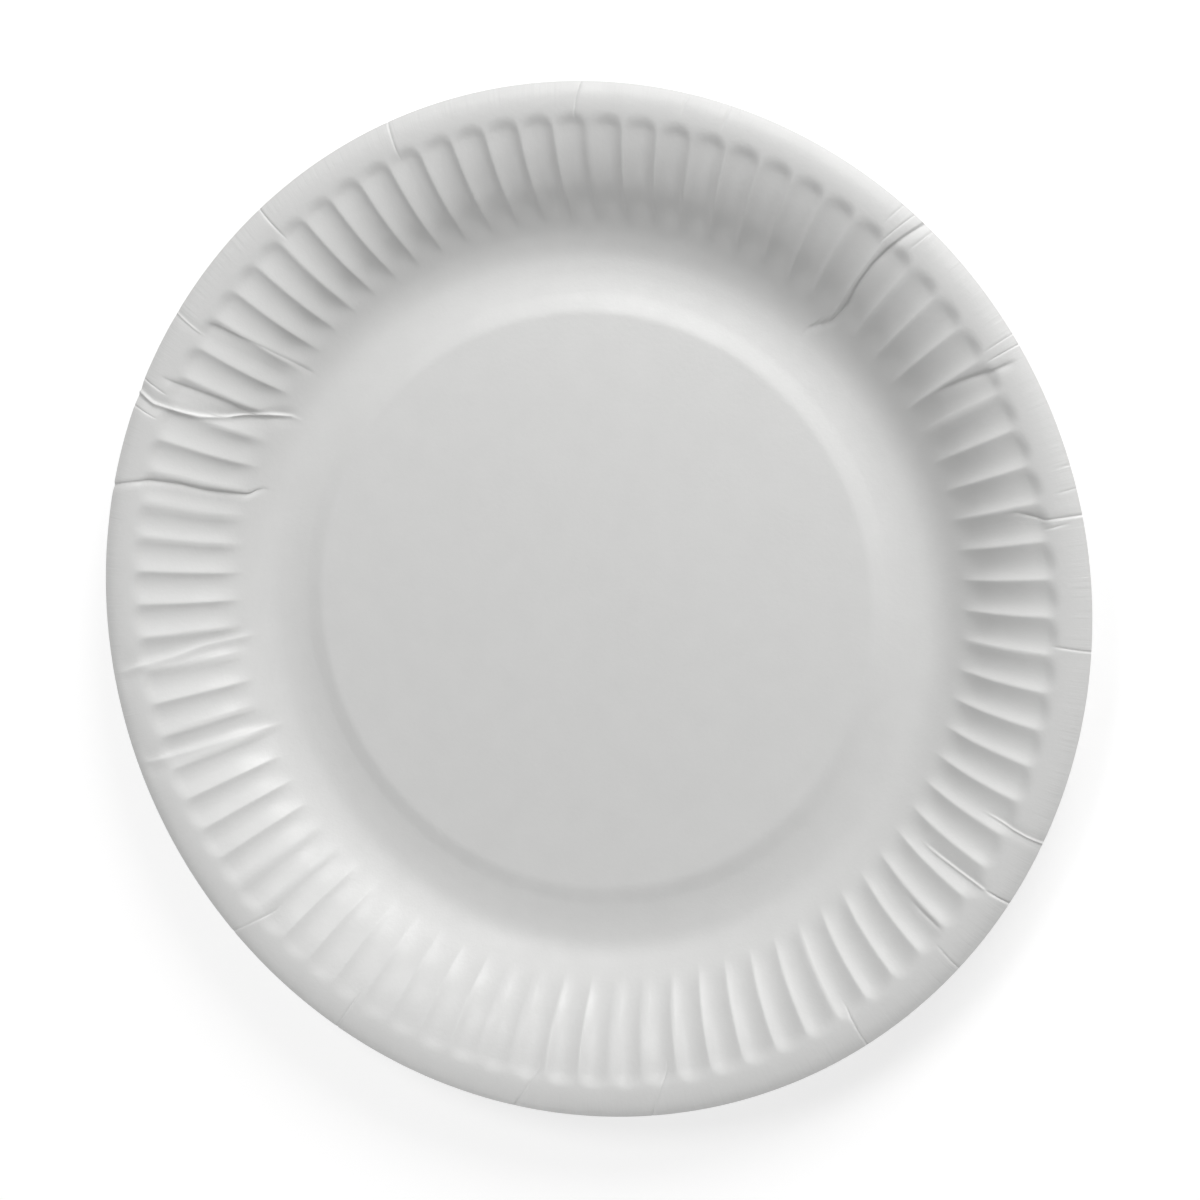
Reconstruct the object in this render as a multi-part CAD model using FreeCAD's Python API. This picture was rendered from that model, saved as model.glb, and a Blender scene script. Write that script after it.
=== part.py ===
import FreeCAD, Part
import math
import os

# Round paper plate, 23 cm across, pressed from one blank of white coated paperboard.
# Frame: millimetres, +Z up, the plate's axis is Z, and Z = 0 is the table that the foot ring rests on.
# The sheet follows one section from the middle to the rim. Between the wall and the lip that section
# is pressed down into 84 shallow grooves, the flutes, which stiffen the rim of such a plate.

RIM_RADIUS = 115.0
SHEET = 0.4

# The section of the top face: its slope in degrees at a few radii, positive where the sheet rises on
# its way out. Between two radii the tangent of the slope changes evenly, so that bends are parabolas.
PANEL_EDGE = 64.0
FOOT_EDGE = 75.0
HEEL = 77.0
SECTION = (
    (0.0, 0.0),
    (PANEL_EDGE, 0.0),
    (66.3, -5.0),
    (68.3, -14.5),
    (71.5, -6.0),
    (FOOT_EDGE, 0.0),
    (HEEL, 0.0),
    (87.5, 41.0),
    (90.5, 41.0),
    (94.5, 31.5),
    (103.5, 18.5),
    (106.0, 17.5),
    (109.0, 10.0),
    (112.0, 0.0),
    (113.5, -12.0),
    (RIM_RADIUS, -36.0),
)

# Flutes: narrow ridges at the section's own level, and broad grooves pressed below it. Places round
# the plate are in pitches, from the middle of a flute's steep side. A roundness is the length of a
# spline's handle, in pitches too: the longer, the broader the ridge or groove.
FLUTES = 84
FLUTE_DEPTH = 0.76
FLUTE_START_ANGLE = 2.304
RIDGE_PLACE = -0.19
GROOVE_PLACE = 0.25
RIDGE_ROUNDNESS = 0.10
GROOVE_ROUNDNESS = 0.20
STEEP_STEPS = 3
GENTLE_STEPS = 2

# The grooves along the section: where they begin to sink below the plain sheet, where they run at their
# full depth, and where they have risen to it again
GROOVE_START = 85.1
GROOVE_RADII = (90.5, 97.6, 104.7)
GROOVE_END = 109.0

PITCH = 360.0 / FLUTES
AXIS = FreeCAD.Vector(0, 0, 1)
ORIGIN = FreeCAD.Vector(0, 0, 0)

# How finely the sheet's bends are drawn: no corner of the section turns by more than BEND_STEP degrees
BEND_STEP = 14.0
WALL_CORNERS_PER_FLUTE = 1
LIP_CORNERS_PER_FLUTE = 2
SEW_TOLERANCE = 0.001


def rise_at(radius):
    """Rise of the sheet for each millimetre outwards at a radius."""
    for (start, slope), (end, next_slope) in zip(SECTION, SECTION[1:]):
        if radius <= end:
            rise = math.tan(math.radians(slope))
            next_rise = math.tan(math.radians(next_slope))
            return rise + (next_rise - rise) * (radius - start) / (end - start)
    return math.tan(math.radians(SECTION[-1][1]))


def height_at(radius):
    """Height of the top face at a radius, counted from the foot ring, one sheet above the table."""
    low, high = sorted((HEEL, radius))
    knots = [low] + [knot for knot, _ in SECTION if low < knot < high] + [high]
    climb = sum((b - a) * (rise_at(a) + rise_at(b)) / 2 for a, b in zip(knots, knots[1:]))
    return SHEET + climb if radius > HEEL else SHEET - climb


def sheet_point(radius, below, angle=0.0):
    """The point square below the top face's point at a radius, turned about the axis by an angle."""
    slope = math.atan(rise_at(radius))
    reach = radius + below * math.sin(slope)
    turn = math.radians(angle)
    height = height_at(radius) - below * math.cos(slope)
    return FreeCAD.Vector(reach * math.cos(turn), reach * math.sin(turn), height)


def section_radii(low, high):
    """Radii between which the section is drawn straight, from one radius to another."""
    knots = [low] + [knot for knot, _ in SECTION if low < knot < high] + [high]
    radii = [low]
    for start, end in zip(knots, knots[1:]):
        turn = math.degrees(abs(math.atan(rise_at(end)) - math.atan(rise_at(start))))
        steps = max(1, math.ceil(turn / BEND_STEP))
        radii += [start + (end - start) * step / steps for step in range(1, steps + 1)]
    return radii


def turned_middle(below):
    """Faces of revolution of the panel and its slope, out to the foot ring."""
    radii = section_radii(0.0, FOOT_EDGE)
    lines = [Part.LineSegment(sheet_point(a, below), sheet_point(b, below)) for a, b in zip(radii, radii[1:])]
    return [line.toShape().revolve(ORIGIN, AXIS, 360.0) for line in lines]


def foot_ring(below):
    """The flat ring that the plate rests on, from the middle's round edge to the wall's first corners."""
    inner = Part.makeCircle(FOOT_EDGE, AXIS * (SHEET - below))
    corners = [sheet_point(HEEL, below, flute_angle(RIDGE_PLACE + flute)) for flute in range(FLUTES)]
    outer = Part.makePolygon(corners + [corners[0]])
    return Part.makeFace([outer, Part.Wire(inner)], "Part::FaceMakerBullseye")


def flute_side(start, end, start_handle, end_handle, start_level, end_level, steps):
    """Corners of one side of a flute, as (place, level), on a spline with level handles.

    Level is 0 on a ridge and 1 in a groove. The side's last corner is the next side's first.
    """
    corners = []
    for step in range(steps):
        t = step / steps
        near = (1 - t) ** 3
        near_handle = 3 * (1 - t) ** 2 * t
        far_handle = 3 * (1 - t) * t ** 2
        far = t ** 3
        place = near * start + near_handle * (start + start_handle)
        place += far_handle * (end - end_handle) + far * end
        corners.append((place, (near + near_handle) * start_level + (far_handle + far) * end_level))
    return corners


def flute_corners():
    """Corners of one flute round the plate: down its steep side, then up its gentle side."""
    next_ridge = RIDGE_PLACE + 1
    steep = flute_side(RIDGE_PLACE, GROOVE_PLACE, RIDGE_ROUNDNESS, GROOVE_ROUNDNESS, 0, 1, STEEP_STEPS)
    gentle = flute_side(GROOVE_PLACE, next_ridge, GROOVE_ROUNDNESS, RIDGE_ROUNDNESS, 1, 0, GENTLE_STEPS)
    return steep + gentle + [(next_ridge, 0)]


def plain_corners(count):
    """Corners of one flute's share of a ring that isn't fluted."""
    return [(RIDGE_PLACE + step / count, 0) for step in range(count + 1)]


def flute_angle(place):
    """Angle about the axis of a place in the first flute."""
    return FLUTE_START_ANGLE + place * PITCH


def ring_row(radius, corners, depth, below):
    """Places and points of one flute's share of the ring at a radius, pressed to a depth."""
    return [(place, sheet_point(radius, below + level * depth, flute_angle(place))) for place, level in corners]


def wall_rows(below):
    """One flute's share of every ring from the foot to the rim."""
    wall = plain_corners(WALL_CORNERS_PER_FLUTE)
    lip = plain_corners(LIP_CORNERS_PER_FLUTE)
    rows = [ring_row(radius, wall, 0, below) for radius in section_radii(HEEL, GROOVE_START)]
    rows += [ring_row(radius, flute_corners(), FLUTE_DEPTH, below) for radius in GROOVE_RADII]
    rows += [ring_row(radius, lip, 0, below) for radius in section_radii(GROOVE_END, RIM_RADIUS)]
    return rows


def flat_facet(*corners):
    """A flat face between three corners."""
    return Part.Face(Part.makePolygon(list(corners) + [corners[0]]))


def facets_between(row, next_row):
    """Flat facets that join two rows, corner by corner in the order of their places."""
    facets = []
    i = 0
    j = 0
    while i < len(row) - 1 or j < len(next_row) - 1:
        row_is_done = i == len(row) - 1
        next_row_leads = j < len(next_row) - 1 and next_row[j + 1][0] <= row[min(i + 1, len(row) - 1)][0]
        if row_is_done or next_row_leads:
            facets.append(flat_facet(row[i][1], next_row[j][1], next_row[j + 1][1]))
            j += 1
        else:
            facets.append(flat_facet(row[i][1], next_row[j][1], row[i + 1][1]))
            i += 1
    return facets


def round_the_plate(pattern):
    """A copy of each shape for every flute."""
    copies = []
    for flute in range(FLUTES):
        for shape in pattern:
            copy = shape.copy()
            copy.rotate(ORIGIN, AXIS, flute * PITCH)
            copies.append(copy)
    return copies


def plate():
    """The whole plate as one closed solid: the sheet's two sides and the cut edge round its rim."""
    faces = []
    one_flute = []
    rims = []
    for below in (0.0, SHEET):
        rows = wall_rows(below)
        for row, next_row in zip(rows, rows[1:]):
            one_flute += facets_between(row, next_row)
        rims.append(rows[-1])
        faces += turned_middle(below) + [foot_ring(below)]
    one_flute += facets_between(*rims)
    sewn = Part.makeCompound(faces + round_the_plate(one_flute))
    sewn.sewShape(SEW_TOLERANCE)
    return Part.makeSolid(Part.Shell(sewn.Faces))


if __name__ == "__main__":
    os.makedirs("parts", exist_ok=True)
    plate().exportStep("parts/plate.step")
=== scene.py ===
import logging
import math
from dataclasses import dataclass
from enum import Enum, IntEnum

import bpy
import numpy as np
from mathutils import Matrix, Vector


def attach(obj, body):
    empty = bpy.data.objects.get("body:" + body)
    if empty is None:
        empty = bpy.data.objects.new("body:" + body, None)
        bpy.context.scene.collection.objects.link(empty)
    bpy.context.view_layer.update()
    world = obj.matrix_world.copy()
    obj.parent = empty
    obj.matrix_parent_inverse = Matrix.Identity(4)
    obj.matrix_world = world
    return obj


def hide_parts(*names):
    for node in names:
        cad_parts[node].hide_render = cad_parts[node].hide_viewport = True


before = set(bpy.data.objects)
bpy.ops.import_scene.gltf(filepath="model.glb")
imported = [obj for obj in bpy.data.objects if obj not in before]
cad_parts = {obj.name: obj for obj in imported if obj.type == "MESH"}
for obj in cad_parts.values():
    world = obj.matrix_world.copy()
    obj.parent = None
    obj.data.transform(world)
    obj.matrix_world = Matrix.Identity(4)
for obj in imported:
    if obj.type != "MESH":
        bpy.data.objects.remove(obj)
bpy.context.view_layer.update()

# Round paper plate, pressed from one blank of white coated paperboard.
# Sizes in the classes are millimetres, as a plate maker would write them. MM turns them to metres.
# The plate's axis is Z and it stands on Z = 0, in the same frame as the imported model.

NODE = "plate"
BODY = "root"
MM = 0.001
RIM_RADIUS = 115.0
WHITE = (1.0, 1.0, 1.0, 1.0)
LOG = logging.getLogger("paper_plate")


def linear_colour(code: str) -> tuple[float, float, float, float]:
    """Turns an sRGB hex colour into the linear one that a shader reads.

    Args:
        code: The colour as #RRGGBB.

    Returns:
        Red, green and blue as linear shares of 1, and an alpha of 1.
    """
    shares = [int(code[at:at + 2], 16) / 255 for at in (1, 3, 5)]
    red, green, blue = [s / 12.92 if s <= 0.04045 else ((s + 0.055) / 1.055) ** 2.4 for s in shares]
    return red, green, blue, 1.0


def smooth_step(value: np.ndarray, start: float, end: float) -> np.ndarray:
    """Rises from 0 at start to 1 at end with level ends: 3 t^2 - 2 t^3, with t the share of the way.

    Args:
        value: Where the step is read.
        start: The value at which the step is still 0.
        end: The value from which it is 1. It may be below start.

    Returns:
        The step's height at each value.
    """
    share = np.clip((value - start) / (end - start), 0.0, 1.0)
    return share * share * (3.0 - 2.0 * share)


def short_way(angle: np.ndarray, line: np.ndarray | float) -> np.ndarray:
    """Turn from a line's angle to another angle the short way round, from -180 to 180 degrees."""
    return np.mod(angle - line + 180.0, 360.0) - 180.0


@dataclass(frozen=True)
class Section:
    """The section of the plate's top face, as slopes at a few radii.

    A knot is a radius and the slope there in degrees, positive where the sheet rises on its way out.
    Between two radii the tangent of the slope changes evenly, so each bend is a parabola. From the
    middle outwards: the panel, its slope down to the foot, the heel, the wall, the shoulder and the lip.
    """

    knots: tuple[tuple[float, float], ...] = (
        (0.0, 0.0), (65.0, 0.0),
        (66.8, -13.0), (69.0, -14.5), (70.4, -8.0), (73.6, -4.0), (75.0, 0.0),
        (77.0, 0.0), (87.5, 41.0), (90.5, 41.0),
        (94.5, 31.5), (103.5, 18.5), (106.0, 17.5),
        (109.0, 10.0), (112.0, 0.0), (113.5, -9.5), (RIM_RADIUS, -17.0),
    )
    foot: float = 75.0
    sheet: float = 0.4

    @property
    def radii(self) -> np.ndarray:
        """Radii of the knots."""
        return np.array([radius for radius, _ in self.knots])

    @property
    def rises(self) -> np.ndarray:
        """Rise for each millimetre outwards at the knots."""
        return np.tan(np.radians([slope for _, slope in self.knots]))

    @property
    def climbs(self) -> np.ndarray:
        """Climb from the middle to each knot: each stretch's width times its mean rise, summed."""
        steps = np.diff(self.radii) * (self.rises[1:] + self.rises[:-1]) / 2
        return np.concatenate(([0.0], np.cumsum(steps)))

    def rise(self, radius: np.ndarray) -> np.ndarray:
        """Rise for each millimetre outwards, on straight lines between the knots' rises."""
        return np.interp(radius, self.radii, self.rises)

    def climb(self, radius: np.ndarray) -> np.ndarray:
        """Climb from the middle: that of the last knot inside, and the parabola from there.

        With p the way past the knot, s its rise, s' the next knot's and w the width between the two,
        the parabola climbs p (s + p (s' - s) / (2 w)).

        Args:
            radius: Radii in millimetres.

        Returns:
            Climbs in millimetres.
        """
        at = np.clip(np.searchsorted(self.radii, radius, side="right") - 1, 0, len(self.radii) - 2)
        past = radius - self.radii[at]
        bend = (self.rises[at + 1] - self.rises[at]) / (self.radii[at + 1] - self.radii[at])
        return self.climbs[at] + past * (self.rises[at] + past * bend / 2)

    def height(self, radius: np.ndarray) -> np.ndarray:
        """Height of the top face above the table: the climb from the foot, plus the sheet."""
        return self.climb(radius) - self.climb(np.array(self.foot)) + self.sheet


@dataclass(frozen=True)
class Flutes:
    """The grooves pressed into the wall. Each has one steep side and one gentle side.

    Places round the plate are in pitches from the start angle. A roundness is the length of a spline's
    handle, in pitches too: the longer, the broader the ridge or the groove. A groove sinks from the first
    radius of its inner end to the second, and rises again from the second of its outer end to the first.
    Its outer end is round, because its flanks rise further in than its middle, by up to the cap. Round
    the shallow angle the press struck less deep, by up to the shallow share.
    """

    count: int = 84
    depth: float = 0.74
    start_angle: float = 2.304
    ridge: float = -0.19
    groove: float = 0.25
    ridge_roundness: float = 0.06
    groove_roundness: float = 0.28
    inner_end: tuple[float, float] = (85.1, 90.7)
    outer_end: tuple[float, float] = (108.9, 105.4)
    cap: float = 1.1
    shallow_angle: float = 242.0
    shallow_width: float = 23.0
    shallow_share: float = 0.62
    spline_samples: int = 200

    @property
    def pitch(self) -> float:
        """Angle from one flute to the next in degrees."""
        return 360.0 / self.count

    @property
    def ridge_angles(self) -> np.ndarray:
        """Angles of all the ridges in degrees."""
        return self.start_angle + (self.ridge + np.arange(self.count)) * self.pitch

    def level(self, angle: np.ndarray) -> np.ndarray:
        """Depth as a share: 0 on a ridge and 1 in a groove.

        Each side is a cubic spline with level handles. With t from 0 to 1 along it, its place is
        3 (1 - t)^2 t a + 3 (1 - t) t^2 (w - b) + t^3 w, where w is its width and a and b are the
        roundness of its two ends, and its level is 3 t^2 - 2 t^3. The level is looked up by place.

        Args:
            angle: Angles about the axis in degrees.

        Returns:
            The level at each angle.
        """
        t = np.linspace(0.0, 1.0, self.spline_samples)
        step = smooth_step(t, 0.0, 1.0)
        near = 3 * (1 - t) ** 2 * t
        far = 3 * (1 - t) * t ** 2
        steep_width = self.groove - self.ridge
        gentle_width = 1.0 - steep_width
        steep_handle = steep_width - self.groove_roundness
        gentle_handle = gentle_width - self.ridge_roundness
        steep = near * self.ridge_roundness + far * steep_handle + t ** 3 * steep_width
        gentle = near * self.groove_roundness + far * gentle_handle + t ** 3 * gentle_width
        places = np.concatenate((steep, steep_width + gentle[1:]))
        levels = np.concatenate((step, 1.0 - step[1:]))
        place = np.mod((angle - self.start_angle) / self.pitch - self.ridge, 1.0)
        return np.interp(place, places, levels)

    def pressed(self, radius: np.ndarray, angle: np.ndarray) -> np.ndarray:
        """Depth of the grooves below the plain sheet.

        It is the full depth times the level, a smooth ramp at either end, and the strike: 1 less a bell
        curve round the shallow angle.

        Args:
            radius: Radii in millimetres.
            angle: Angles about the axis in degrees.

        Returns:
            Depths in millimetres.
        """
        level = self.level(angle)
        cap = self.cap * (1.0 - level)
        inner = smooth_step(radius, *self.inner_end)
        outer = smooth_step(radius + cap, *self.outer_end)
        off = short_way(angle, self.shallow_angle)
        strike = 1.0 - self.shallow_share * np.exp(-(off / self.shallow_width) ** 2)
        return self.depth * strike * level * inner * outer


class CreaseForm(Enum):
    """How the sheet gives way at a crease."""

    VALLEY = "a narrow groove"
    RIDGE = "a narrow ridge at the plain level, between two sunken strips"


@dataclass(frozen=True)
class Crease:
    """One crease that the press left across the wall or the lip, where the blank had too much board.

    The route runs outwards as (radius, angle) points. One that ends past the rim runs over the cut edge.
    The two flanks are the widths on the side of smaller angles and on that of greater ones. The strips
    beside a ridge are as many times broader than its flanks as the strip ratio says. A crease fades in
    and out over twice the fade.
    """

    route: tuple[tuple[float, float], ...]
    depth: float
    flanks: tuple[float, float] = (0.25, 0.25)
    form: CreaseForm = CreaseForm.VALLEY
    strip_ratio: float = 4.0
    fade: float = 1.5

    @property
    def rim_angle(self) -> float:
        """Angle of the crease's line at the rim, which is that of its route's last point."""
        return self.route[-1][1]

    def angle(self, radius: np.ndarray) -> np.ndarray:
        """Angle of the crease's line at a radius, on straight lines between the route's points."""
        radii, angles = zip(*self.route)
        return np.interp(radius, radii, angles)

    def pressed(self, radius: np.ndarray, angle: np.ndarray) -> np.ndarray:
        """Depth of the crease below the plain sheet.

        A valley is a bell curve across the line. A ridge is the broader bell of its strips, less that one.

        Args:
            radius: Radii in millimetres.
            angle: Angles about the axis in degrees.

        Returns:
            Depths in millimetres.
        """
        off = short_way(angle, self.angle(radius))
        across = np.radians(off) * radius / np.where(off < 0, *self.flanks)
        inner = self.route[0][0]
        outer = self.route[-1][0]
        fade_in = smooth_step(radius, inner - self.fade, inner + self.fade)
        fade_out = smooth_step(radius, outer + self.fade, outer - self.fade)
        bell = np.exp(-across ** 2)
        if self.form is CreaseForm.RIDGE:
            bell = np.exp(-(across / self.strip_ratio) ** 2) - bell
        return self.depth * (fade_in * fade_out) * bell


# The creases in their order round the plate, from +X by way of +Y. Most cross the lip alone, where the
# blank has the most board to spare, and some run down between the flutes.
PAST_RIM = RIM_RADIUS + 2.0
CREASES: tuple[Crease, ...] = (
    Crease(((101.3, 13.9), (107.2, 12.4), (PAST_RIM, 12.2)), 0.20, (0.25, 0.35)),
    Crease(((107.4, 11.4), (111.2, 11.6)), 0.12),
    Crease(((111.5, 15.0), (PAST_RIM, 15.1)), 0.08),
    Crease(((112.6, 17.6), (PAST_RIM, 17.5)), 0.06),
    Crease(((95.7, 31.1), (99.4, 30.8), (104.2, 30.3), (107.7, 29.8), (112.0, 29.6)), 0.30, (0.9, 0.45)),
    Crease(((108.5, 31.0), (PAST_RIM, 30.9)), 0.14, (0.2, 0.2)),
    Crease(((109.0, 32.1), (PAST_RIM, 32.2)), 0.10, (0.2, 0.2)),
    Crease(((109.5, 46.0), (PAST_RIM, 45.4)), 0.08, (0.2, 0.2)),
    Crease(
        (
            (80.5, 50.8), (85.0, 48.5), (90.6, 47.8), (95.1, 48.2), (101.2, 48.2), (105.4, 47.9),
            (110.5, 47.3), (PAST_RIM, 46.4),
        ),
        0.42, (0.9, 0.42),
    ),
    Crease(((106.6, 49.0), (PAST_RIM, 47.9)), 0.12, (0.2, 0.2)),
    Crease(((110.5, 50.0), (PAST_RIM, 49.5)), 0.07, (0.2, 0.2)),
    Crease(((110.0, 71.2), (PAST_RIM, 71.0)), 0.10),
    Crease(((111.5, 76.1), (PAST_RIM, 75.6)), 0.12),
    Crease(((107.8, 88.8), (111.7, 88.5), (PAST_RIM, 87.8)), 0.14),
    Crease(((107.0, 111.3), (PAST_RIM, 111.0)), 0.12),
    Crease(((106.5, 129.2), (PAST_RIM, 129.5)), 0.14),
    Crease(((85.0, 142.4), (95.0, 142.8), (106.7, 144.0)), 0.20, (0.5, 1.1)),
    Crease(((107.6, 145.6), (PAST_RIM, 145.2)), 0.14, form=CreaseForm.RIDGE),
    Crease(((92.0, 152.3), (96.9, 152.1), (106.6, 152.7), (110.0, 152.8)), 0.22, (0.4, 1.0)),
    Crease(((109.0, 154.5), (PAST_RIM, 153.9)), 0.12, (0.2, 0.2)),
    Crease(
        (
            (83.5, 150.3), (87.5, 151.5), (91.4, 152.9), (95.1, 154.4), (99.5, 155.4), (104.3, 155.9),
            (110.5, 156.2), (PAST_RIM, 155.4),
        ),
        0.42, (0.42, 0.6), CreaseForm.RIDGE,
    ),
    Crease(((109.5, 157.8), (PAST_RIM, 157.3)), 0.12, (0.2, 0.2)),
    Crease(
        (
            (84.3, 163.2), (86.3, 164.7), (94.0, 165.2), (99.9, 165.1), (106.6, 165.6), (113.9, 167.0),
            (PAST_RIM, 167.6),
        ),
        0.32, (0.38, 0.9),
    ),
    Crease(
        ((85.0, 187.4), (93.8, 187.9), (99.8, 188.8), (109.6, 189.5), (112.5, 189.8)),
        0.34, (0.9, 1.2), CreaseForm.RIDGE,
    ),
    Crease(
        ((84.4, 202.5), (90.8, 202.0), (96.1, 201.8), (110.2, 201.2), (112.5, 201.0)),
        0.34, (0.9, 1.2), CreaseForm.RIDGE,
    ),
    Crease(((104.0, 225.5), (PAST_RIM, 223.4)), 0.12, (0.3, 0.3)),
    Crease(((106.0, 240.9), (PAST_RIM, 240.4)), 0.14),
    Crease(((105.0, 266.5), (PAST_RIM, 263.3)), 0.10),
    Crease(((105.0, 283.0), (PAST_RIM, 279.8)), 0.10),
    Crease(((106.0, 307.3), (PAST_RIM, 306.9)), 0.14),
    Crease(((109.0, 320.8), (PAST_RIM, 320.4)), 0.12),
    Crease(((99.1, 322.2), (106.2, 322.4)), 0.20, (0.5, 0.5)),
    Crease(
        ((94.0, 328.8), (100.8, 329.1), (104.8, 329.2), (109.5, 329.4)),
        0.24, (0.4, 0.3), CreaseForm.RIDGE,
    ),
    Crease(((109.5, 329.4), (PAST_RIM, 329.7)), 0.24, (0.3, 0.3)),
    Crease(((103.2, 337.1), (111.5, 337.0), (PAST_RIM, 337.1)), 0.22, (0.3, 0.25), CreaseForm.RIDGE),
    Crease(((107.5, 358.3), (PAST_RIM, 358.0)), 0.14),
)


class Side(IntEnum):
    """The three kinds of face that a sheet of board has, in the order of the piece's material slots."""

    FACE = 0
    BACK = 1
    EDGE = 2


@dataclass(frozen=True)
class BoardFinish:
    """One side of paperboard, drawn in soft clouds of two near shades, with a grain and lip puckers.

    Lengths are millimetres. The roughness plays about its mean with the clouds. The puckers, which
    cross the lip, begin at the first radius of the pucker band and are full from the second.
    """

    name: str
    colour: str
    cloud: str
    roughness: float
    roughness_play: float
    cloud_size: float
    grain_size: float
    grain_height: float
    pucker_spacing: float
    pucker_height: float
    pucker_band: tuple[float, float] = (108.5, 114.5)
    ior: float = 1.5


@dataclass(frozen=True)
class CoatedFace(BoardFinish):
    """Clay-coated paperboard, pressed hot between polished tools: white, smooth, with a soft broad gloss.

    Its grain is drawn coarser than the real one, which would be too fine to see.
    """

    name: str = "clay_coated_paperboard"
    colour: str = "#D9D9D8"
    cloud: str = "#D2D2D1"
    roughness: float = 0.44
    roughness_play: float = 0.04
    cloud_size: float = 7.0
    grain_size: float = 1.0
    grain_height: float = 0.03
    pucker_spacing: float = 1.3
    pucker_height: float = 0.10


@dataclass(frozen=True)
class UncoatedBack(BoardFinish):
    """The blank's uncoated side: bleached fibre with no gloss, a little darker and rougher to the eye."""

    name: str = "bleached_fibre_back"
    colour: str = "#D4D4D1"
    cloud: str = "#CBCBC8"
    roughness: float = 0.85
    roughness_play: float = 0.05
    cloud_size: float = 3.0
    grain_size: float = 0.45
    grain_height: float = 0.02
    pucker_spacing: float = 1.3
    pucker_height: float = 0.06


@dataclass(frozen=True)
class CutEdge(BoardFinish):
    """Board cut by a die: bare fibre ends, matte, the darkest of the three."""

    name: str = "die_cut_fibre_edge"
    colour: str = "#CFCFCC"
    cloud: str = "#BEBEBA"
    roughness: float = 0.95
    roughness_play: float = 0.03
    cloud_size: float = 0.6
    grain_size: float = 0.3
    grain_height: float = 0.03
    pucker_spacing: float = 1.0
    pucker_height: float = 0.0


def add_node(
    tree: bpy.types.NodeTree, kind: str, inputs: dict[str | int, object], **settings: object,
) -> bpy.types.Node:
    """Adds a node with its settings, and fills or links its inputs.

    Args:
        tree: The node tree.
        kind: The node's type name.
        inputs: Input name or number, with a value or with the output socket that feeds it.
        settings: Properties of the node.

    Returns:
        The new node.
    """
    node = tree.nodes.new(kind)
    for name, value in settings.items():
        setattr(node, name, value)
    for name, value in inputs.items():
        if isinstance(value, bpy.types.NodeSocket):
            tree.links.new(value, node.inputs[name])
        else:
            node.inputs[name].default_value = value
    return node


def new_material(name: str) -> tuple[bpy.types.Material, bpy.types.NodeTree]:
    """Makes an empty node material.

    Args:
        name: The material's name.

    Returns:
        The material and its node tree.
    """
    material = bpy.data.materials.new(name)
    material.use_nodes = True
    material.node_tree.nodes.clear()
    return material, material.node_tree


def board_material(finish: BoardFinish) -> bpy.types.Material:
    """Makes the procedural material of one side of the board.

    The colour drifts between two near shades in soft clouds, as the fibre's density does. The bump is the
    fine grain, and the puckers that run straight out over the lip: noise read on the direction from the
    axis, so that it changes round the plate and not along the radius.

    Args:
        finish: The colours, sizes and gloss.

    Returns:
        The material.
    """
    material, tree = new_material(finish.name)
    place = add_node(tree, "ShaderNodeTexCoord", {}).outputs["Object"]
    clouds = add_node(
        tree, "ShaderNodeTexNoise",
        {"Vector": place, "Scale": 1 / (finish.cloud_size * MM), "Detail": 3.0, "Roughness": 0.55},
    ).outputs["Fac"]
    colour = add_node(
        tree, "ShaderNodeMix",
        {0: clouds, 6: linear_colour(finish.colour), 7: linear_colour(finish.cloud)}, data_type="RGBA",
    ).outputs[2]
    flat = add_node(
        tree, "ShaderNodeVectorMath", {0: place, 1: (1.0, 1.0, 0.0)}, operation="MULTIPLY",
    ).outputs[0]
    radius = add_node(tree, "ShaderNodeVectorMath", {0: flat}, operation="LENGTH").outputs["Value"]
    grain = add_node(
        tree, "ShaderNodeTexNoise",
        {"Vector": place, "Scale": 1 / (finish.grain_size * MM), "Detail": 2.0, "Roughness": 0.6},
    ).outputs["Fac"]
    smoothest = finish.roughness - finish.roughness_play
    roughest = finish.roughness + finish.roughness_play
    roughness = add_node(
        tree, "ShaderNodeMapRange",
        {"Value": clouds, "From Min": 0.3, "From Max": 0.7, "To Min": smoothest, "To Max": roughest},
    ).outputs[0]
    outwards = add_node(tree, "ShaderNodeVectorMath", {0: flat}, operation="NORMALIZE").outputs[0]
    rim_folds = RIM_RADIUS / finish.pucker_spacing
    folds = add_node(
        tree, "ShaderNodeTexNoise",
        {"Vector": outwards, "Scale": rim_folds, "Detail": 3.0, "Roughness": 0.7},
    ).outputs["Fac"]
    band_start, band_end = finish.pucker_band
    lip = add_node(
        tree, "ShaderNodeMapRange",
        {"Value": radius, "From Min": band_start * MM, "From Max": band_end * MM},
        interpolation_type="SMOOTHSTEP",
    ).outputs[0]
    puckers = add_node(tree, "ShaderNodeMath", {0: folds, 1: lip}, operation="MULTIPLY").outputs[0]
    fine = add_node(
        tree, "ShaderNodeBump",
        {"Strength": 1.0, "Distance": finish.grain_height * MM, "Height": grain},
    ).outputs[0]
    normal = add_node(
        tree, "ShaderNodeBump",
        {"Strength": 1.0, "Distance": finish.pucker_height * MM, "Height": puckers, "Normal": fine},
    ).outputs[0]
    shader = add_node(
        tree, "ShaderNodeBsdfPrincipled",
        {"Base Color": colour, "Roughness": roughness, "IOR": finish.ior, "Normal": normal},
    ).outputs[0]
    add_node(tree, "ShaderNodeOutputMaterial", {"Surface": shader})
    return material


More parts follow.
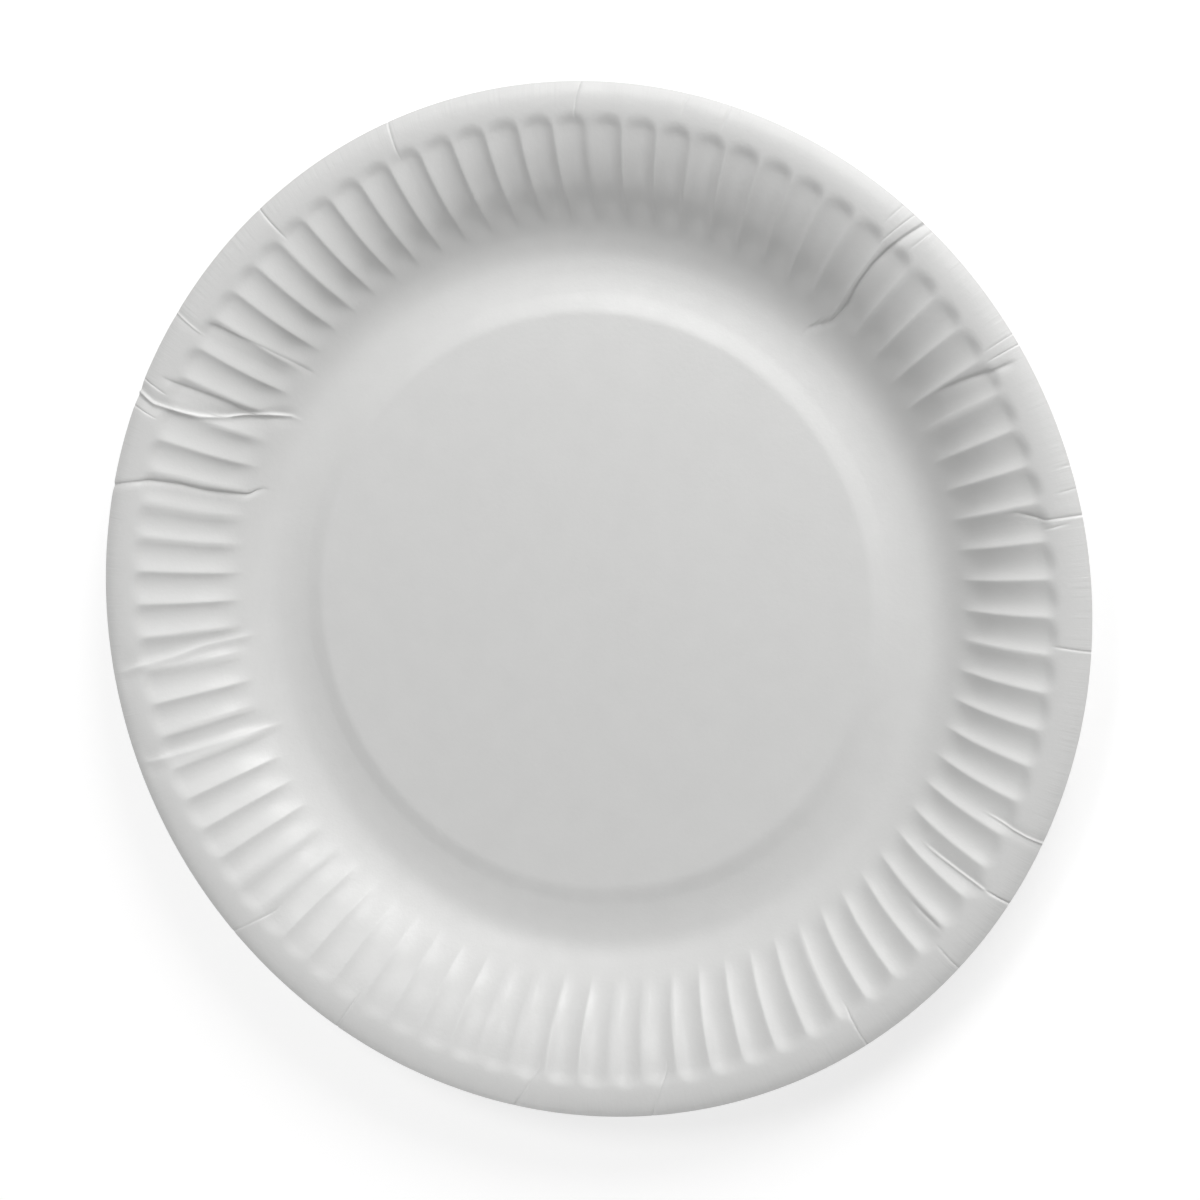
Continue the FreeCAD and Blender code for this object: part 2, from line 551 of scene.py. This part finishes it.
@dataclass
class PressedPlate:
    """The whole plate: one sheet with a coated face, an uncoated back and a cut edge.

    The mesh is a grid of rings and columns on each face, round a small hub. A row is the radius where a
    stretch of rings ends, and how many steps it has. Flute places are those of a flute's columns, in
    pitches past its ridge. Crease steps are the millimetres from a crease's line to the columns beside
    it. The flutes' own columns are left out between these, and for a margin of some degrees past them.

    A crease that drifts round the plate takes the columns along. Its reach is the first number in degrees,
    and the second for each degree of its drift: ridges further off stay where they are. The drift is none
    at the inner radius of the drift band and whole from the outer one, and two lines keep the least gap
    in degrees. The back shows the back share of the creases' depth.
    """

    section: Section = Section()
    flutes: Flutes = Flutes()
    creases: tuple[Crease, ...] = CREASES
    hub_radius: float = 0.8
    rows: tuple[tuple[float, int], ...] = (
        (4.0, 1), (62.0, 1), (64.6, 1), (65.0, 1),
        (66.8, 4), (69.0, 2), (70.4, 2), (73.6, 1), (75.0, 1),
        (77.0, 1), (85.1, 6), (87.5, 3), (90.7, 3),
        (94.5, 3), (103.5, 5), (105.2, 1),
        (109.0, 6), (112.0, 4), (114.99, 5),
    )
    flute_places: tuple[float, ...] = (0.0, 0.035, 0.08, 0.14, 0.22, 0.32, 0.44, 0.58, 0.74, 0.88, 0.96)
    crease_steps: tuple[float, ...] = (0.0, 0.12, 0.26, 0.46, 0.75)
    crease_margin: float = 0.05
    crease_reach: tuple[float, float] = (1.0, 1.3)
    drift_band: tuple[float, float] = (62.0, 76.0)
    least_gap: float = 0.2
    back_share: float = 0.5

    @property
    def crease_lines(self) -> np.ndarray:
        """Angles of the creases' lines at the rim."""
        return np.array([crease.rim_angle for crease in self.creases])

    def ring_radii(self) -> np.ndarray:
        """Radii of the grid's rings: even steps inside each stretch of the section."""
        radii = [np.array([self.hub_radius])]
        start = self.hub_radius
        for end, steps in self.rows:
            radii.append(np.linspace(start, end, steps + 1)[1:])
            start = end
        return np.concatenate(radii)

    def column_angles(self) -> np.ndarray:
        """Angles of the grid's columns at the rim: closest on each flute's ridge, and beside each crease.

        Returns:
            Sorted angles in degrees.
        """
        places = np.array(self.flute_places) * self.flutes.pitch
        fluted = (self.flutes.ridge_angles[:, None] + places[None, :]).ravel()
        steps = np.array(self.crease_steps)
        steps = np.degrees(np.unique(np.concatenate((-steps, steps))) / RIM_RADIUS)
        lines = self.crease_lines
        beside = (lines[:, None] + steps[None, :]).ravel()
        gap = np.abs(short_way(fluted[:, None], lines[None, :])).min(axis=1)
        kept = fluted[gap > steps[-1] + self.crease_margin]
        return np.sort(np.mod(np.concatenate((kept, beside)), 360.0))

    def angles(self, radius: np.ndarray, column: np.ndarray) -> np.ndarray:
        """Angle of each grid point: columns follow the creases, and stay on the ridges further off.

        Each crease's line and each ridge out of its reach is a fixed place. Between two of these the
        drift changes evenly with the column's angle. Where two lines would cross, they trade places, and
        they are never nearer to each other than the least gap.

        Args:
            radius: Radii of the rings in millimetres.
            column: Angles of the columns at the rim in degrees.

        Returns:
            Angles in degrees, by ring and column.
        """
        lines = self.crease_lines
        ridges = self.flutes.ridge_angles
        drifts = np.array([crease.angle(radius) - crease.rim_angle for crease in self.creases])
        least_reach, drift_reach = self.crease_reach
        reach = least_reach + drift_reach * np.abs(drifts).max(axis=1)
        apart = np.abs(short_way(ridges[:, None], lines[None, :]))
        still = ridges[(apart > reach[None, :]).all(axis=1)]
        places = np.concatenate((lines, still))
        moves = np.concatenate((drifts, np.zeros((len(still), len(radius)))))
        order = np.argsort(places)
        places = places[order]
        moves = moves[order] * smooth_step(radius, *self.drift_band)
        gaps = self.least_gap * np.arange(len(places))[:, None]
        ordered = np.maximum.accumulate(np.sort(places[:, None] + moves, axis=0) - gaps, axis=0) + gaps
        moves = ordered - places[:, None]
        return np.array([column + np.interp(column, places, move, period=360.0) for move in moves.T])

    def surface(self, radius: np.ndarray, angle: np.ndarray, crease_share: float) -> np.ndarray:
        """Points of the top face: the section turned round the axis, pressed square to it.

        With s the slope of the section and d the depth of flutes and creases, a point lies at the radius
        r + d sin s and the height h(r) - d cos s.

        Args:
            radius: Radii in millimetres.
            angle: Angles about the axis in degrees.
            crease_share: How much of the creases' depth to take.

        Returns:
            Points in millimetres, with X, Y and Z along the last axis.
        """
        slope = np.arctan(self.section.rise(radius))
        depth = self.flutes.pressed(radius, angle)
        for crease in self.creases:
            depth = depth + crease_share * crease.pressed(radius, angle)
        reach = radius + depth * np.sin(slope)
        turn = np.radians(angle)
        height = self.section.height(radius) - depth * np.cos(slope)
        return np.stack((reach * np.cos(turn), reach * np.sin(turn), height), axis=-1)

    @staticmethod
    def normals(points: np.ndarray) -> np.ndarray:
        """Unit normals of a grid that closes round the axis: outward tangent across the turning one.

        Args:
            points: Points by ring, column and axis.

        Returns:
            Upward unit normals, in the same order.
        """
        out = np.gradient(points, axis=0)
        round_axis = np.roll(points, -1, axis=1) - np.roll(points, 1, axis=1)
        square = np.cross(out, round_axis)
        return square / np.linalg.norm(square, axis=-1, keepdims=True)

    def points(self, radius: np.ndarray, angle: np.ndarray, coarse: np.ndarray) -> np.ndarray:
        """Points of the whole mesh: the top grid, the back grid and the middle of each.

        The back lies one sheet below the top, square to the plain section.

        Args:
            radius: Radii of the top grid in millimetres, by ring and column.
            angle: Angles of the top grid in degrees, by ring and column.
            coarse: Which of the rings the back has too.

        Returns:
            Points in metres, one after another.
        """
        sheet = self.section.sheet
        top = self.surface(radius, angle, 1.0)
        plain = self.surface(radius, angle, 0.0)
        back = (self.surface(radius, angle, self.back_share) - sheet * self.normals(plain))[coarse]
        middle = self.section.height(np.array([0.0]))[0]
        hubs = np.array([[0.0, 0.0, middle], [0.0, 0.0, middle - sheet]])
        return np.concatenate((top.reshape(-1, 3), back.reshape(-1, 3), hubs)) * MM

    @staticmethod
    def patches(over: np.ndarray, below: np.ndarray) -> list[tuple[Side, np.ndarray]]:
        """Faces between the points, with their corners in the order that points them outwards.

        Args:
            over: Numbers of the top grid's points, by ring and column.
            below: Numbers of the back grid's points, which come next. The two hubs come last.

        Returns:
            Each patch of faces with the side of the board that it belongs to.
        """
        over_beside = np.roll(over, -1, axis=1)
        below_beside = np.roll(below, -1, axis=1)
        face = (over[:-1], over[1:], over_beside[1:], over_beside[:-1])
        under = (below[:-1], below_beside[:-1], below_beside[1:], below[1:])
        edge = (over[-1], below[-1], below_beside[-1], over_beside[-1])
        hub = np.full(over.shape[1], below[-1, -1] + 1)
        face_middle = (hub, over[0], over_beside[0])
        back_middle = (hub + 1, below_beside[0], below[0])
        sides = (Side.FACE, Side.BACK, Side.EDGE, Side.FACE, Side.BACK)
        corners = (face, under, edge, face_middle, back_middle)
        return [(side, np.stack(of, axis=-1).reshape(-1, len(of))) for side, of in zip(sides, corners)]

    def build(self) -> bpy.types.Object:
        """Builds and dresses the plate.

        Returns:
            The plate's object.
        """
        radii = self.ring_radii()
        angle = self.angles(radii, self.column_angles())
        radius = np.broadcast_to(radii[:, None], angle.shape)
        rings, columns = angle.shape
        coarse = np.unique(np.append(np.arange(0, rings, 2), rings - 1))
        index = np.arange((rings + len(coarse)) * columns).reshape(-1, columns)
        patches = self.patches(index[:rings], index[rings:])
        corners = [face for _, patch in patches for face in patch.tolist()]
        sides = np.concatenate([np.full(len(patch), side, np.int32) for side, patch in patches])
        mesh = bpy.data.meshes.new("pressed_plate")
        mesh.from_pydata(self.points(radius, angle, coarse).tolist(), [], corners)
        mesh.polygons.foreach_set("material_index", sides)
        mesh.polygons.foreach_set("use_smooth", sides != Side.EDGE)
        ends = np.empty(2 * len(mesh.edges), np.int32)
        mesh.edges.foreach_get("vertices", ends)
        rims = np.concatenate((index[rings - 1], index[-1]))
        mesh.edges.foreach_set("use_edge_sharp", np.isin(ends.reshape(-1, 2), rims).all(axis=1))
        mesh.validate()
        piece = bpy.data.objects.new("pressed_plate", mesh)
        bpy.context.scene.collection.objects.link(piece)
        for finish in (CoatedFace(), UncoatedBack(), CutEdge()):
            mesh.materials.append(board_material(finish))
        return piece


@dataclass(frozen=True)
class Lamp:
    """One round softbox that looks at the plate: its direction in degrees, and its power in watts."""

    name: str
    azimuth: float
    elevation: float
    power: float
    distance: float = 0.85
    size: float = 0.4


@dataclass(frozen=True)
class Studio:
    """The camera, the floor and the lamps. Angles are in degrees and sizes in metres.

    The camera stands off the middle of the rim's plane and looks at the aim, which lies in that plane.
    Its focal length is in pixels of a square picture of that many pixels, and its sensor in millimetres.
    The floor has the floor colour to the lamps. The camera sees it as its glow and a grey that takes
    the plate's shadow.
    """

    distance: float = 0.52325
    tilt: float = 20.63
    azimuth: float = 20.94
    rim_height: float = 0.01575
    aim: tuple[float, float] = (0.00805, 0.00276)
    focal_pixels: float = 2365.0
    image_pixels: float = 1200.0
    sensor: float = 36.0
    lamps: tuple[Lamp, ...] = (
        Lamp("key_low", 60.0, 30.0, 5.8),
        Lamp("key_middle", 80.0, 35.0, 0.8),
        Lamp("key_high", 113.0, 63.0, 2.15, size=0.3),
        Lamp("fill_left", 240.0, 40.0, 1.34),
        Lamp("fill_near", 300.0, 30.0, 0.34),
    )
    world_level: float = 0.06
    backdrop_level: float = 0.75
    floor_colour: str = "#E9E9E9"
    floor_half: float = 3.0
    floor_drop: float = 0.0002
    floor_glow: float = 0.72
    floor_grey: float = 0.4

    def add_camera(self) -> None:
        """Places the camera where the photograph was taken from, with the plate's +Y up in the picture."""
        turn = math.radians(self.azimuth)
        tilt = math.radians(self.tilt)
        way = Vector((math.cos(turn) * math.sin(tilt), math.sin(turn) * math.sin(tilt), math.cos(tilt)))
        place = way * self.distance + Vector((0.0, 0.0, self.rim_height))
        back = (place - Vector((*self.aim, self.rim_height))).normalized()
        right = Vector((0.0, 1.0, 0.0)).cross(back).normalized()
        up = back.cross(right)
        data = bpy.data.cameras.new("camera")
        data.sensor_width = self.sensor
        data.lens = self.sensor * self.focal_pixels / self.image_pixels
        camera = bpy.data.objects.new("camera", data)
        rotation = Matrix((right, up, back)).transposed().to_4x4()
        camera.matrix_world = Matrix.Translation(place) @ rotation
        bpy.context.scene.collection.objects.link(camera)
        bpy.context.scene.camera = camera

    def add_lamp(self, lamp: Lamp) -> None:
        """Adds one softbox.

        Args:
            lamp: Its direction, power, distance and size.
        """
        turn = math.radians(lamp.azimuth)
        rise = math.radians(lamp.elevation)
        way = Vector((math.cos(turn) * math.cos(rise), math.sin(turn) * math.cos(rise), math.sin(rise)))
        data = bpy.data.lights.new(lamp.name, "AREA")
        data.shape = "DISK"
        data.size = lamp.size
        data.energy = lamp.power
        softbox = bpy.data.objects.new(lamp.name, data)
        softbox.location = way * lamp.distance
        softbox.rotation_euler = way.to_track_quat("Z", "Y").to_euler()
        bpy.context.scene.collection.objects.link(softbox)

    def add_floor(self) -> None:
        """Adds a pale floor that the camera sees as white, with the plate's soft shadow on it."""
        half = self.floor_half
        corners = [(-half, -half), (half, -half), (half, half), (-half, half)]
        mesh = bpy.data.meshes.new("floor")
        mesh.from_pydata([(x, y, -self.floor_drop) for x, y in corners], [], [(0, 1, 2, 3)])
        floor = bpy.data.objects.new("floor", mesh)
        bpy.context.scene.collection.objects.link(floor)
        material, tree = new_material("white_floor")
        grey = (self.floor_grey, self.floor_grey, self.floor_grey, 1.0)
        lit = add_node(
            tree, "ShaderNodeBsdfDiffuse", {"Color": linear_colour(self.floor_colour)},
        ).outputs[0]
        glow = add_node(
            tree, "ShaderNodeEmission", {"Color": WHITE, "Strength": self.floor_glow},
        ).outputs[0]
        shaded = add_node(tree, "ShaderNodeBsdfDiffuse", {"Color": grey}).outputs[0]
        seen = add_node(tree, "ShaderNodeAddShader", {0: glow, 1: shaded}).outputs[0]
        camera_ray = add_node(tree, "ShaderNodeLightPath", {}).outputs["Is Camera Ray"]
        mixed = add_node(tree, "ShaderNodeMixShader", {0: camera_ray, 1: lit, 2: seen}).outputs[0]
        add_node(tree, "ShaderNodeOutputMaterial", {"Surface": mixed})
        mesh.materials.append(material)

    def add_world(self) -> None:
        """Lights the room evenly from all sides, and lets the camera see a pale backdrop."""
        world = bpy.data.worlds.new("room")
        world.use_nodes = True
        tree = world.node_tree
        tree.nodes.clear()
        room = add_node(
            tree, "ShaderNodeBackground", {"Color": WHITE, "Strength": self.world_level},
        ).outputs[0]
        backdrop = add_node(
            tree, "ShaderNodeBackground", {"Color": WHITE, "Strength": self.backdrop_level},
        ).outputs[0]
        camera_ray = add_node(tree, "ShaderNodeLightPath", {}).outputs["Is Camera Ray"]
        mixed = add_node(tree, "ShaderNodeMixShader", {0: camera_ray, 1: room, 2: backdrop}).outputs[0]
        add_node(tree, "ShaderNodeOutputWorld", {"Surface": mixed})
        bpy.context.scene.world = world

    def build(self) -> None:
        """Builds the whole studio."""
        bpy.context.scene.view_settings.view_transform = "Standard"
        self.add_world()
        for lamp in self.lamps:
            self.add_lamp(lamp)
        self.add_floor()
        self.add_camera()


def main() -> None:
    """Builds the plate and the studio round it, and reports what was made."""
    logging.basicConfig(level=logging.INFO, format="%(message)s")
    piece = PressedPlate().build()
    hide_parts(NODE)
    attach(piece, BODY)
    LOG.info("%s: %d triangles", piece.name, sum(len(p.vertices) - 2 for p in piece.data.polygons))
    Studio().build()


if __name__ == "__main__":
    main()
